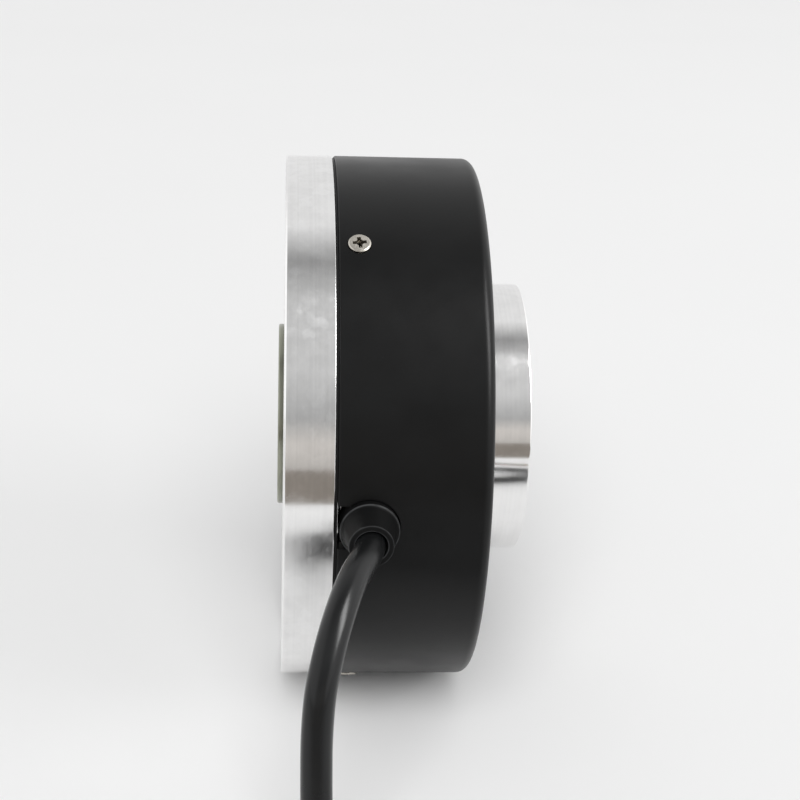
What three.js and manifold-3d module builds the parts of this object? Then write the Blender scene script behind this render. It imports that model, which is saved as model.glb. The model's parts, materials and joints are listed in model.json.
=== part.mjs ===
// A hollow-shaft rotary encoder with its lead, modelled as it comes apart on a bench.
//
// Millimetres, +Z up. The encoder stands on its rim: the shaft axis runs along +X, towards the clamping
// hub, at the housing's radius above the surface, and the lead leaves the cover along -Y.
// The row's origin is under the middle of the encoder's length, on the surface it stands on.
// Inside the encoder's own group, x is counted from the flange's mounting face and y and z from the
// shaft axis. A bearing angle is counted in degrees from the lead's exit, upwards.

import * as THREE from 'three';
import { mergeVertices } from 'three/addons/utils/BufferGeometryUtils.js';
import Module from 'manifold-3d';

const wasm = await Module();
wasm.setup();

// Driving dimensions.
const HOUSING_R = 50;
const BORE_R = 15;
const SHAFT_R = 17.5;
const SHAFT_START = -1;
const HUB_R = 26;
const HUB_END = 45;
const FLANGE_THICK = 8.65;
const COVER_START = 9.1;
const COVER_END = 35.25;
const COVER_WALL = 2.3;
const COVER_FILLET = 1.8;
const COVER_BORE_R = 26.6;
const GAP = 0.3;
const EDGE = 0.35;

// Inner structure.
const SPIGOT_R = 47;
const SPIGOT_INNER_R = 43.8;
const SPIGOT_END = 16.9;
const FLOOR_X = 7;
const HOUSING_TUBE_R = 28;
const HOUSING_TUBE_END = 25.2;
const BEARING_SEAT_R = 23.8;
const BEARING_R = 23.5;
const BEARING_WIDTH = 7;
const BALL_PITCH_R = 20.55;
const BALL_R = 1.45;
const BALL_COUNT = 13;
const LIP_X = 2;
const LIP_R = 20.2;
const BEARING_LEFT_X = LIP_X + GAP;
const BEARING_RIGHT_X = 15.4;
const CIRCLIP_X = 23;
const CIRCLIP_THICK = 0.8;
const COLLAR_R = 20.3;
const COLLAR_START = BEARING_RIGHT_X + BEARING_WIDTH + GAP;
const BOARD_X = 19;
const BOARD_THICK = 1.6;
const BOARD_TOP = BOARD_X + BOARD_THICK;
const DISC_X = 26;
const DISC_R = 40;
const DISC_THICK = 0.8;

// Fasteners and the lead's exit.
const COVER_SCREW_X = 12.65;
const COVER_SCREW_ANGLES = [58, 178, -62];
const COVER_SCREW_HEAD_R = 2;
const COVER_SCREW_PROUD = 0.45;
const BOARD_SCREW_ANGLES = [60, 180, 300];
const BOARD_SCREW_R = 37;
const FLANGE_HOLE_ANGLES = [45, 135, 225, 315];
const FLANGE_HOLE_PITCH_R = 37.5;
const SET_SCREW_ANGLES = [135, 225];
const SET_SCREW_X = 40.2;
const EXIT_X = 14.5;
const BOOT_R = 5;
const BOOT_TIP_R = 3.75;
const BOOT_SHOULDER = 51.1;
const BOOT_TIP = 56.6;
const MOUTH_HALF = 4;
const CLAMP_SIDES = [-1, 1];
const CLAMP_SCREW_AWAY = 39;
const CLAMP_SCREW_HALF = 6.6;

// The lead.
const CABLE_R = 2.5;
const CABLE_SOLID_R = 2.4;
const COIL_PITCH = 5.1;
const COIL_OUTER_TURN_R = 32.7;

// How finely round pieces are cut.
const WIDE_SIDES = 56;
const SHAFT_SIDES = 40;
const HIDDEN_SIDES = 28;
const SCREW_SIDES = 12;

const MIDDLE_X = (SHAFT_START + HUB_END) / 2;
const radians = THREE.MathUtils.degToRad;

// ---------- materials ----------

function finish(color, roughness, metalness = 0) {
  return new THREE.MeshStandardMaterial({ color, roughness, metalness });
}

const aluminium = finish(0xd2d3d2, 0.28, 1);
const blackCoat = finish(0x1a1b1b, 0.55);
const rubber = finish(0x141515, 0.7);
const jacket = finish(0x18191b, 0.42);
const nickel = finish(0xa39f94, 0.35, 1);
const steel = finish(0xb4b6b8, 0.25, 1);
const turnedSteel = finish(0x9c9e92, 0.4, 1);
const brass = finish(0xb89a55, 0.3, 1);
const felt = finish(0x3b3a38, 0.95);
const laminate = finish(0x1f5a38, 0.5);
const blackPlastic = finish(0x202224, 0.5);
const whiteNylon = finish(0xd9d6cc, 0.5);
const discGlass = finish(0xb8c4c4, 0.1);
const lensClear = finish(0xdfe3e6, 0.15);
const can = finish(0xb9bcbf, 0.3, 1);
const wireColours = {
  red: finish(0xb3201f, 0.5),
  black: finish(0x1c1c1d, 0.5),
  green: finish(0x1f7a3c, 0.5),
  white: finish(0xe6e4de, 0.5),
  yellow: finish(0xd8b21c, 0.5),
};

// ---------- shapes ----------

// Turns an outline of [along, radius] points about +Y. The outline closes on itself, or starts and ends
// on the axis. Half a step of turn puts a flat facet, not a corner, on each side of the axes.
function turnedAboutY(outline, sides) {
  const spread = 1 / Math.cos(Math.PI / sides);
  const points = outline.map(([along, radius]) => new THREE.Vector2(radius * spread, along));
  if (THREE.ShapeUtils.isClockWise(points)) points.reverse();
  if (points[0].x > 0) points.push(points[0].clone());
  return new THREE.LatheGeometry(points, sides, Math.PI / sides);
}

// The same about the shaft axis: along is x.
function turned(outline, sides = HIDDEN_SIDES) {
  return turnedAboutY(outline, sides).rotateZ(-Math.PI / 2);
}

// A plain ring about the shaft axis.
function ring(start, end, inner, outer, sides = HIDDEN_SIDES) {
  return turned([[start, inner], [end, inner], [end, outer], [start, outer]], sides);
}

function roundBar(radius, from, to, sides = SCREW_SIDES) {
  const bar = new THREE.CylinderGeometry(radius, radius, to - from, sides, 1);
  return bar.translate(0, (from + to) / 2, 0);
}

// Turns a shape that points along +Y so that it points outwards at a bearing angle, at a given x.
function facingOut(geometry, x, angle) {
  return geometry.rotateX(Math.PI - radians(angle)).translate(x, 0, 0);
}

// Turns a shape that points along +Y to point along +X, and puts it at a bearing angle and radius.
function alongShaft(geometry, angle, radius) {
  const up = radius * Math.sin(radians(angle));
  const away = -radius * Math.cos(radians(angle));
  return geometry.rotateZ(-Math.PI / 2).translate(0, away, up);
}

// Turns a shape that points along +Y to point along +X, where a screw of the cable clamp is.
function atClampScrew(geometry, side) {
  return geometry.rotateZ(-Math.PI / 2).translate(0, -CLAMP_SCREW_AWAY, side * CLAMP_SCREW_HALF);
}

// A block with its sides along x, outwards and round the housing.
function block(start, end, inner, outer, width, angle) {
  const box = new THREE.BoxGeometry(width, outer - inner, end - start);
  box.rotateY(Math.PI / 2).translate(0, (inner + outer) / 2, 0);
  return facingOut(box, (start + end) / 2, angle);
}

function tubeAlong(points, radius, steps, sides = 8) {
  const section = new THREE.Shape();
  for (let i = 0; i < sides; i += 1) {
    const turn = (i / sides) * 2 * Math.PI;
    const corner = [radius * Math.cos(turn), radius * Math.sin(turn)];
    if (i === 0) section.moveTo(...corner);
    else section.lineTo(...corner);
  }
  section.closePath();
  const extrudePath = new THREE.CatmullRomCurve3(points.map((p) => new THREE.Vector3(...p)));
  return new THREE.ExtrudeGeometry(section, { steps, extrudePath, bevelEnabled: false });
}

// ---------- joining and cutting ----------

function solid(geometry) {
  const bare = geometry.clone();
  bare.deleteAttribute('normal');
  bare.deleteAttribute('uv');
  const merged = mergeVertices(bare, 1e-4);
  const faces = [];
  for (let i = 0; i < merged.index.count; i += 3) {
    const [a, b, c] = [0, 1, 2].map((k) => merged.index.getX(i + k));
    if (a !== b && b !== c && c !== a) faces.push(a, b, c);
  }
  return new wasm.Manifold(new wasm.Mesh({
    numProp: 3,
    vertProperties: new Float32Array(merged.attributes.position.array),
    triVerts: new Uint32Array(faces),
  }));
}

function geometryOf(manifold) {
  const mesh = manifold.getMesh();
  const geometry = new THREE.BufferGeometry();
  geometry.setAttribute('position', new THREE.BufferAttribute(mesh.vertProperties, 3));
  geometry.setIndex(new THREE.BufferAttribute(mesh.triVerts, 1));
  geometry.computeVertexNormals();
  return geometry;
}

function cut(geometry, tools) {
  return geometryOf(tools.reduce((rest, tool) => rest.subtract(solid(tool)), solid(geometry)));
}

function join(geometry, others) {
  return geometryOf(others.reduce((whole, other) => whole.add(solid(other)), solid(geometry)));
}

// ---------- the assembly ----------

const encoder = new THREE.Group();
encoder.position.set(-MIDDLE_X, 0, HOUSING_R);
const lead = new THREE.Group();

function add(name, geometry, material, group = encoder) {
  const mesh = new THREE.Mesh(geometry, material);
  mesh.name = name;
  group.add(mesh);
}

// ---------- mounting flange and cover ----------

function flange() {
  const body = turned([
    [0, LIP_R], [LIP_X, LIP_R], [LIP_X, BEARING_SEAT_R],
    [CIRCLIP_X - GAP, BEARING_SEAT_R], [CIRCLIP_X - GAP, BEARING_SEAT_R + 1.1],
    [CIRCLIP_X + CIRCLIP_THICK + GAP, BEARING_SEAT_R + 1.1],
    [CIRCLIP_X + CIRCLIP_THICK + GAP, BEARING_SEAT_R],
    [HOUSING_TUBE_END, BEARING_SEAT_R], [HOUSING_TUBE_END, HOUSING_TUBE_R],
    [FLOOR_X, HOUSING_TUBE_R], [FLOOR_X, SPIGOT_INNER_R],
    [SPIGOT_END, SPIGOT_INNER_R], [SPIGOT_END, SPIGOT_R],
    [FLANGE_THICK, SPIGOT_R], [FLANGE_THICK, HOUSING_R],
    [EDGE, HOUSING_R], [0, HOUSING_R - EDGE],
  ], WIDE_SIDES);
  const holes = COVER_SCREW_ANGLES.map((angle) =>
    facingOut(roundBar(1.3, 42, 48), COVER_SCREW_X, angle));
  for (const angle of FLANGE_HOLE_ANGLES) {
    holes.push(alongShaft(roundBar(1.65, -1, 5.2), angle, FLANGE_HOLE_PITCH_R));
  }
  for (const angle of BOARD_SCREW_ANGLES) {
    holes.push(alongShaft(roundBar(1.6, 3.6, 8), angle, BOARD_SCREW_R));
  }
  for (const side of CLAMP_SIDES) holes.push(atClampScrew(roundBar(1.55, 3.4, 8), side));
  // The boot and the lead pass through this notch in the spigot.
  holes.push(facingOut(roundBar(BOOT_R + GAP, 41, 48, 24), EXIT_X, 0));
  holes.push(block(EXIT_X, SPIGOT_END + 1, 41, 48, 2 * (BOOT_R + GAP), 0));
  return cut(body, holes);
}

function cover() {
  const fillet = [];
  const steps = 5;
  for (let i = 0; i <= steps; i += 1) {
    const turn = (i / steps) * Math.PI / 2;
    fillet.push([
      COVER_END - COVER_FILLET + COVER_FILLET * Math.cos(turn),
      HOUSING_R - COVER_FILLET + COVER_FILLET * Math.sin(turn),
    ]);
  }
  const inside = SPIGOT_R + GAP;
  const shell = turned([
    [COVER_START, inside], [COVER_END - COVER_WALL, inside], [COVER_END - COVER_WALL, COVER_BORE_R],
    [COVER_END, COVER_BORE_R], ...fillet,
    [COVER_START + 0.2, HOUSING_R], [COVER_START, HOUSING_R - 0.2],
  ], WIDE_SIDES);
  const holes = [];
  for (const angle of COVER_SCREW_ANGLES) {
    holes.push(facingOut(roundBar(COVER_SCREW_HEAD_R + GAP, 48.3, 52), COVER_SCREW_X, angle));
    holes.push(facingOut(roundBar(1.3, 46, 49), COVER_SCREW_X, angle));
  }
  // A round hole for the boot, with a narrower mouth that is open towards the flange.
  holes.push(facingOut(roundBar(BOOT_R + GAP, 45, 52, 24), EXIT_X, 0));
  holes.push(block(COVER_START - 1, EXIT_X, 45, 52, 2 * MOUTH_HALF, 0));
  return cut(shell, holes);
}

// A countersunk cross-head screw that points outwards along +Y, its head's face at headTop.
function crossHeadScrew(headTop, headR, shankR, length) {
  const shank = headTop - 1.6;
  const body = turnedAboutY([
    [headTop - length, 0], [headTop - length, shankR], [shank, shankR], [shank + 1.05, headR],
    [headTop - 0.25, headR], [headTop, headR - 0.3], [headTop, 0],
  ], SCREW_SIDES);
  const slots = [0, 1].map((turn) => {
    const blade = new THREE.BoxGeometry(headR * 1.1, 1.4, headR * 0.24);
    return blade.rotateY(Math.PI / 4 + turn * Math.PI / 2).translate(0, headTop - 0.1, 0);
  });
  return cut(body, slots);
}

add('mounting_flange', flange(), aluminium);
add('cover_gasket', ring(FLANGE_THICK + 0.05, COVER_START - 0.05, 47.4, 49.6, WIDE_SIDES), rubber);
add('cover', cover(), blackCoat);
COVER_SCREW_ANGLES.forEach((angle, i) => {
  const screw = crossHeadScrew(HOUSING_R + COVER_SCREW_PROUD, COVER_SCREW_HEAD_R, 1, 6.2);
  add(`cover_screw_${i + 1}`, facingOut(screw, COVER_SCREW_X, angle), nickel);
});
add('left_dust_seal', ring(0.3, 1.7, SHAFT_R + GAP, LIP_R - GAP), rubber);
add('right_dust_seal', ring(30.4, COVER_END - COVER_WALL - GAP, HUB_R + GAP, 30.5), felt);

// ---------- bearings ----------

// Half of a race's outline, from one face to the other, with the groove that the balls run in.
function grooved(start, shoulder, groove) {
  const middle = start + BEARING_WIDTH / 2;
  const deep = shoulder + groove;
  return [
    [start, shoulder], [middle - 1.9, shoulder], [middle - 1.1, deep],
    [middle + 1.1, deep], [middle + 1.9, shoulder], [start + BEARING_WIDTH, shoulder],
  ];
}

function outerRace(start) {
  return turned([
    ...grooved(start, 21.6, 0.75), [start + BEARING_WIDTH, BEARING_R], [start, BEARING_R],
  ]);
}

function innerRace(start) {
  const bore = SHAFT_R + GAP;
  return turned([
    [start, bore], [start + BEARING_WIDTH, bore], ...grooved(start, 19.5, -0.75).reverse(),
  ]);
}

function ballCage(start) {
  const middle = start + BEARING_WIDTH / 2;
  const cage = ring(middle - 2.2, middle + 2.2, BALL_PITCH_R - 0.4, BALL_PITCH_R + 0.4);
  const balls = [];
  for (let i = 0; i < BALL_COUNT; i += 1) {
    const ball = new THREE.SphereGeometry(BALL_R, 6, 4).translate(0, BALL_PITCH_R, 0);
    balls.push(facingOut(ball, middle, (i * 360) / BALL_COUNT));
  }
  return join(cage, balls);
}

function bearing(side, start, shieldX) {
  add(`${side}_bearing_outer_race`, outerRace(start), steel);
  add(`${side}_bearing_inner_race`, innerRace(start), steel);
  add(`${side}_ball_cage`, ballCage(start), brass);
  add(`${side}_bearing_shield`, ring(shieldX, shieldX + 0.4, 19.9, 21.3), steel);
}

bearing('left', BEARING_LEFT_X, BEARING_LEFT_X + 0.15);
bearing('right', BEARING_RIGHT_X, BEARING_RIGHT_X + BEARING_WIDTH - 0.55);
const spacerStart = BEARING_LEFT_X + BEARING_WIDTH + GAP;
const spacerEnd = BEARING_RIGHT_X - GAP;
add('outer_bearing_spacer', ring(spacerStart, spacerEnd, 21.6, BEARING_R), aluminium);
add('inner_bearing_spacer', ring(spacerStart, spacerEnd, SHAFT_R + GAP, 19.5), steel);

function circlip() {
  const open = ring(CIRCLIP_X, CIRCLIP_X + CIRCLIP_THICK, 21.8, BEARING_SEAT_R + 0.8);
  return cut(open, [block(CIRCLIP_X - 1, CIRCLIP_X + 2, 20, 27, 6, 90)]);
}
add('bearing_circlip', circlip(), steel);

// ---------- rotor ----------

function hollowShaft() {
  const tube = turned([
    [SHAFT_START, BORE_R], [HUB_END - 0.3, BORE_R], [HUB_END - 0.3, SHAFT_R],
    [COLLAR_START + 2.5, SHAFT_R], [COLLAR_START + 2.5, COLLAR_R], [COLLAR_START, COLLAR_R],
    [COLLAR_START, SHAFT_R], [SHAFT_START + 0.4, SHAFT_R], [SHAFT_START, SHAFT_R - 0.4],
  ], SHAFT_SIDES);
  return cut(tube, SET_SCREW_ANGLES.map((angle) =>
    facingOut(roundBar(2.3, 12, 20), SET_SCREW_X, angle)));
}

function clampRing() {
  const edge = 0.4;
  const body = turned([
    [30.6, SHAFT_R + GAP], [HUB_END, SHAFT_R + GAP], [HUB_END, HUB_R - edge],
    [HUB_END - edge, HUB_R], [30.6, HUB_R],
  ], SHAFT_SIDES);
  return cut(body, SET_SCREW_ANGLES.map((angle) =>
    facingOut(roundBar(2.3, 16, 28), SET_SCREW_X, angle)));
}

function setScrew(angle) {
  const body = roundBar(2, 15.5, 24.8);
  const socket = roundBar(1.1, 23, 26, 6);
  return facingOut(cut(body, [socket]), SET_SCREW_X, angle);
}

function discHub() {
  return turned([
    [25.5, SHAFT_R + GAP], [30.3, SHAFT_R + GAP], [30.3, COLLAR_R], [29.3, COLLAR_R],
    [29.3, 26.2], [DISC_X + DISC_THICK + GAP, 26.2], [DISC_X + DISC_THICK + GAP, COLLAR_R],
    [25.5, COLLAR_R],
  ]);
}

add('hollow_shaft', hollowShaft(), turnedSteel);
add('clamp_ring', clampRing(), aluminium);
SET_SCREW_ANGLES.forEach((angle, i) => add(`set_screw_${i + 1}`, setScrew(angle), blackCoat));
add('disc_hub', discHub(), aluminium);
add('code_disc', ring(DISC_X, DISC_X + DISC_THICK, COLLAR_R + GAP, DISC_R, WIDE_SIDES), discGlass);
add('disc_clamp_ring', ring(24.9, DISC_X - GAP, COLLAR_R + GAP, 23.3), brass);

// ---------- circuit board and reader ----------

const READER_ANGLE = 120;
const TRACK_R = 36;

function circuitBoard() {
  const board = ring(BOARD_X, BOARD_TOP, 30, 43.6, WIDE_SIDES);
  const holes = BOARD_SCREW_ANGLES.map((angle) =>
    alongShaft(roundBar(1.6, BOARD_X - 1, BOARD_TOP + 1), angle, BOARD_SCREW_R));
  // Room at the board's edge for the boot's inner lip.
  holes.push(block(BOARD_X - 1, BOARD_TOP + 1, 40.5, 45, 14, 0));
  return cut(board, holes);
}

// A hexagonal pillar, screwed into the flange's floor, with a threaded hole in its top.
function standoff(angle) {
  const pillar = join(roundBar(2.6, FLOOR_X + GAP, BOARD_X - GAP, 6), [roundBar(1.2, 4, 8, 12)]);
  const threadHole = roundBar(1.35, 13, BOARD_X + 1, 12);
  return alongShaft(cut(pillar, [threadHole]), angle, BOARD_SCREW_R);
}

function boardScrew(angle) {
  const head = BOARD_TOP + GAP;
  const body = turnedAboutY([
    [head + 1.4, 0], [head + 1.4, 2], [head + 1.1, 2.3], [head, 2.3], [head, 1.05],
    [14, 1.05], [14, 0],
  ], SCREW_SIDES);
  const slot = new THREE.BoxGeometry(3, 1.2, 0.6).translate(0, head + 1.4, 0);
  return alongShaft(cut(body, [slot]), angle, BOARD_SCREW_R);
}

// A C-shaped bracket that reaches round the disc's edge and holds the lamp over the sensor.
function readerBracket() {
  const post = block(BOARD_TOP + GAP, 31.8, 41, 43.6, 12, READER_ANGLE);
  const arm = block(30.2, 31.8, 33, 42, 12, READER_ANGLE);
  const shelf = block(24.2, 25.6, 40.4, 42, 12, READER_ANGLE);
  return join(post, [arm, shelf]);
}

function lamp() {
  const body = turnedAboutY([
    [29.9, 0], [29.9, 2.5], [28.9, 2.5], [28.9, 2.2], [27.9, 1.7], [27.4, 0.9], [27.3, 0],
  ], SCREW_SIDES);
  return alongShaft(body, READER_ANGLE, TRACK_R);
}

add('circuit_board', circuitBoard(), laminate);
BOARD_SCREW_ANGLES.forEach((angle, i) => {
  add(`board_standoff_${i + 1}`, standoff(angle), brass);
  add(`board_screw_${i + 1}`, boardScrew(angle), steel);
});
add('reader_bracket', readerBracket(), blackPlastic);
add('lamp', lamp(), lensClear);
add('light_sensor', block(BOARD_TOP + 0.1, 23, 33, 39, 7, READER_ANGLE), blackPlastic);
add('mask_plate', block(24.4, 25.4, 32.5, 40.1, 9, READER_ANGLE), discGlass);
add('line_driver_chip', block(BOARD_TOP + 0.1, 22.3, 34, 38, 10, 240), blackPlastic);
add('regulator_chip', block(BOARD_TOP + 0.1, 22.1, 33, 38.5, 6, 210), blackPlastic);
add('filter_capacitor', alongShaft(roundBar(3.1, 13.2, BOARD_X - 0.1), 150, 36.5), can);

// ---------- lead's exit, inside and out ----------

function boot() {
  return facingOut(turnedAboutY([
    [41, CABLE_R + GAP], [BOOT_TIP, CABLE_R + GAP], [BOOT_TIP, BOOT_TIP_R - 0.3],
    [BOOT_TIP - 0.3, BOOT_TIP_R], [BOOT_SHOULDER, BOOT_R - 0.1], [BOOT_SHOULDER - 0.2, BOOT_R],
    [43.4, BOOT_R], [43.4, 6.2], [41, 6.2],
  ], 24), EXIT_X, 0);
}

function cableClamp() {
  const body = block(FLOOR_X + GAP, 18.2, 37.4, 40.6, 18, 0);
  const holes = [facingOut(roundBar(CABLE_R + GAP, 30, 45, 16), EXIT_X, 0)];
  for (const side of CLAMP_SIDES) holes.push(atClampScrew(roundBar(1.5, 5, 20), side));
  return cut(body, holes);
}

// The pin header on the back of the board, and the loom from the lead's end to it.
const HEADER_ANGLE = 32;
const HEADER_R = 37;

add('cable_boot', boot(), rubber);
add('cable_clamp', cableClamp(), whiteNylon);
CLAMP_SIDES.forEach((side, i) => {
  const screw = turnedAboutY([
    [18.7, 0], [18.7, 1.2], [4, 1.2], [4, 0],
  ], SCREW_SIDES);
  add(`clamp_screw_${i + 1}`, atClampScrew(screw, side), steel);
});
const header = block(14.4, BOARD_X - 0.1, HEADER_R - 1.5, HEADER_R + 1.5, 9, HEADER_ANGLE);
add('board_header', header, whiteNylon);
add('inner_loom', tubeAlong([
  [EXIT_X, -36.6, 0], [EXIT_X - 0.6, -33.4, 1.2], [EXIT_X - 2.2, -32, 6], [EXIT_X - 3, -31.6, 13],
  [EXIT_X - 2.6, -31.4, 17.8], [EXIT_X - 1.2, -31.4, 19.6],
], 1.1, 10), wireColours.black);

// ---------- the free lead ----------

// Millimetres in the row's own frame: out of the boot, down to the surface and along it to the coil.
const route = [
  [-7.5, -37.2, 50], [-7.5, -46, 50], [-7.5, -54.5, 50], [-8.2, -58.8, 49.9], [-10.05, -63.5, 49.4],
  [-11.6, -67.8, 48.2], [-13, -71.6, 46.1], [-14.25, -74.8, 43.3], [-15.25, -77.3, 40],
  [-16, -79, 36.4], [-16.35, -80.1, 32.6], [-16.5, -81.1, 28.7], [-16.5, -82.2, 24.8],
  [-16.45, -83.3, 21], [-16.35, -84.6, 17.1], [-16.3, -86.5, 13.3], [-16.3, -89.2, 9.9],
  [-16.3, -92.6, 6.9], [-16.3, -96.5, 4.6], [-16.3, -100.8, 3.1], [-16.3, -103.2, 2.7],
];
const COIL_CENTRE = [-16.3 + COIL_OUTER_TURN_R, -122];
const COIL_IN = COIL_OUTER_TURN_R - 2 * COIL_PITCH - CABLE_R;
const COIL_OUT = COIL_OUTER_TURN_R + CABLE_R;
const LAYER_HIGH = 5;
const COIL_HIGH = 10.2;
const TIE_ANGLE = 234;
const TAIL_Z = COIL_HIGH + GAP + CABLE_SOLID_R;
const TAIL_R = 27.6;

// A point over the coil, at a bearing counted anticlockwise from +X.
function coilPoint(radius, bearing, height) {
  const turn = radians(bearing);
  return [
    COIL_CENTRE[0] + radius * Math.cos(turn), COIL_CENTRE[1] + radius * Math.sin(turn), height,
  ];
}

function arcPoints(radius, from, to, height, count) {
  const points = [];
  for (let i = 0; i <= count; i += 1) {
    points.push(coilPoint(radius, from + ((to - from) * i) / count, height));
  }
  return points;
}

// Turns a shape from the x-z plane to the coil's radial plane at a bearing.
function aroundCoil(geometry, angle) {
  return geometry.rotateZ(radians(angle)).translate(COIL_CENTRE[0], COIL_CENTRE[1], 0);
}

function coil() {
  const body = turnedAboutY([
    [0, COIL_IN], [0, COIL_OUT], [LAYER_HIGH, COIL_OUT], [COIL_HIGH, COIL_OUT - CABLE_R],
    [COIL_HIGH, COIL_IN + CABLE_R], [LAYER_HIGH, COIL_IN],
  ], HIDDEN_SIDES).rotateX(Math.PI / 2).translate(COIL_CENTRE[0], COIL_CENTRE[1], 0);
  // Room under the turns for the tie's strap.
  const room = new THREE.BoxGeometry(20, 3.4, 2.4).translate((COIL_IN + COIL_OUT) / 2, 0, 0);
  return cut(body, [aroundCoil(room, TIE_ANGLE)]);
}

function outline(points) {
  return points.map(([across, up]) => new THREE.Vector2(across, up));
}

// A nylon strap round all the turns, with its locking head on the outside.
function coilTie() {
  const width = 2.6;
  const top = TAIL_Z + CABLE_SOLID_R;
  const strap = new THREE.Shape(outline([
    [COIL_IN - 0.9, 0.05], [COIL_OUT + 1.1, 0.05], [COIL_OUT + 1.1, 1.4], [COIL_OUT + 4.2, 1.4],
    [COIL_OUT + 4.2, 5.2], [COIL_OUT + 1.1, 5.2], [COIL_OUT - 1.2, COIL_HIGH + 0.9],
    [TAIL_R + CABLE_R + 0.6, top + 1.1], [TAIL_R - CABLE_R - 0.6, top + 1.1],
    [COIL_IN + 1.2, COIL_HIGH + 0.9], [COIL_IN - 1.2, LAYER_HIGH],
  ]));
  strap.holes.push(new THREE.Path(outline([
    [COIL_IN - 0.3, 0.85], [COIL_OUT + 0.3, 0.85], [COIL_OUT + 0.3, 5.2],
    [COIL_OUT - 1.9, COIL_HIGH + 0.6], [TAIL_R + CABLE_R, top + 0.3],
    [TAIL_R - CABLE_R, top + 0.3], [COIL_IN + 1.9, COIL_HIGH + 0.6], [COIL_IN - 0.3, LAYER_HIGH + 0.2],
  ])));
  const band = new THREE.ExtrudeGeometry(strap, { depth: width, bevelEnabled: false });
  return aroundCoil(band.translate(0, 0, -width / 2).rotateX(Math.PI / 2), TIE_ANGLE);
}

const TAIL_START = 20;
const TAIL_END = 280;
const SLEEVE_END = 305;
const LEADS_END = 350;

add('cable', tubeAlong(route, CABLE_SOLID_R, 32), jacket, lead);
add('cable_coil', coil(), jacket, lead);
const tailLine = arcPoints(TAIL_R, TAIL_START, TAIL_END, TAIL_Z, 12);
add('cable_tail', tubeAlong(tailLine, CABLE_SOLID_R, 18), jacket, lead);
add('coil_tie', coilTie(), blackPlastic, lead);
const sleeveLine = arcPoints(TAIL_R, TAIL_END + 2, SLEEVE_END, TAIL_Z - 0.2, 4);
add('end_sleeve', tubeAlong(sleeveLine, 2.5, 5), rubber, lead);
Object.entries(wireColours).forEach(([colour, material], i) => {
  const fan = i - 2;
  const points = [
    coilPoint(TAIL_R + fan * 1.5, SLEEVE_END + 2, TAIL_Z - 1),
    coilPoint(TAIL_R + fan * 2, SLEEVE_END + 16, COIL_HIGH + 1.2),
    coilPoint(TAIL_R + fan * 2.4, SLEEVE_END + 32, COIL_HIGH + 1),
    coilPoint(TAIL_R + fan * 2.6, LEADS_END - Math.abs(fan) * 2, COIL_HIGH + 1),
  ];
  add(`lead_${colour}`, tubeAlong(points, 0.6, 4), material, lead);
});

const assembly = new THREE.Group();
assembly.add(encoder, lead);

export default assembly;
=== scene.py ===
"""Looks of a hollow-shaft rotary encoder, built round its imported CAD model.

Metres, in the model's own frame: +X along the shaft to the clamping hub, -Y the way the lead leaves the
cover, +Z up from the surface that the encoder stands on. Outlines of turned parts are in millimetres from
the flange's mounting face, because that is how such parts are drawn.
"""
import json
import math

import bmesh
import bpy
from mathutils import Matrix, Vector

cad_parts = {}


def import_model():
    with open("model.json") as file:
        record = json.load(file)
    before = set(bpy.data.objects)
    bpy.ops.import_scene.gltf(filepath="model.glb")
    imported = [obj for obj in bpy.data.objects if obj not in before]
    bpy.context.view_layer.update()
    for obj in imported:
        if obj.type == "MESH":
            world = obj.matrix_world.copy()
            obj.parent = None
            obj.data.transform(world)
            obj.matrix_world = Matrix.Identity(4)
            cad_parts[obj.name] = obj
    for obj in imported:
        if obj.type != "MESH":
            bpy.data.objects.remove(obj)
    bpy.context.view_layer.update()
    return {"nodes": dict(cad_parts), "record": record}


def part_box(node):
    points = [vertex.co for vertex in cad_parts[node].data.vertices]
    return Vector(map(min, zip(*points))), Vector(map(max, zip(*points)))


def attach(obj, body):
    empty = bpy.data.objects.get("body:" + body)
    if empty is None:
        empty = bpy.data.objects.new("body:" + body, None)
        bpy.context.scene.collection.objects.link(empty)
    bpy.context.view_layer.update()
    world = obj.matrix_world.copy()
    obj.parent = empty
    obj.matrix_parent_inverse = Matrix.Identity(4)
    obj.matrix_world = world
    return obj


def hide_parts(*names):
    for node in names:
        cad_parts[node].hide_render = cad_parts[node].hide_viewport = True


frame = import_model()

# ---------- sizes, some worked out from the frame, the rest given ---

MM = 0.001
FACE_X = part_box("mounting_flange")[0].x
HOUSING_R = (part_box("cover")[1].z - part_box("cover")[0].z) / 2 / MM
AXIS = Vector((0, 0, HOUSING_R * MM))
COVER_START = (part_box("cover")[0].x - FACE_X) / MM
COVER_END = (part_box("cover")[1].x - FACE_X) / MM
HUB_END = (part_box("clamp_ring")[1].x - FACE_X) / MM
HUB_R = (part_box("clamp_ring")[1].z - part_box("clamp_ring")[0].z) / 2 / MM
FLANGE_END = (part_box("cover_gasket")[0].x - FACE_X) / MM - 0.05
SHAFT_START = (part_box("hollow_shaft")[0].x - FACE_X) / MM
SHAFT_END = (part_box("hollow_shaft")[1].x - FACE_X) / MM
EXIT_X = (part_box("cable_boot")[0].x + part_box("cable_boot")[1].x) / 2
EXIT = (EXIT_X - FACE_X) / MM
BORE_R = 15
SHAFT_R = 17.5
COLLAR_R = 20.3
COLLAR_START = 22.7
COLLAR_END = 25.2
LIP_X = 2
LIP_R = 20.2
BEARING_SEAT_R = 23.8
CIRCLIP_START = 22.7
CIRCLIP_END = 24.1
CIRCLIP_GROOVE_R = 24.9
TUBE_R = 28
TUBE_END = 25.2
FLOOR_X = 7
SPIGOT_INNER_R = 43.8
SPIGOT_R = 47
SPIGOT_END = 16.9
LAND_R = 47.25
CABLE_R = 2.5 * MM
BOOT_R = 5
BOOT_SHOULDER = 51.1
BOOT_TIP_R = 3.75
BOOT_TIP = 56.6
BOOT_BORE_R = 2.75

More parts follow.
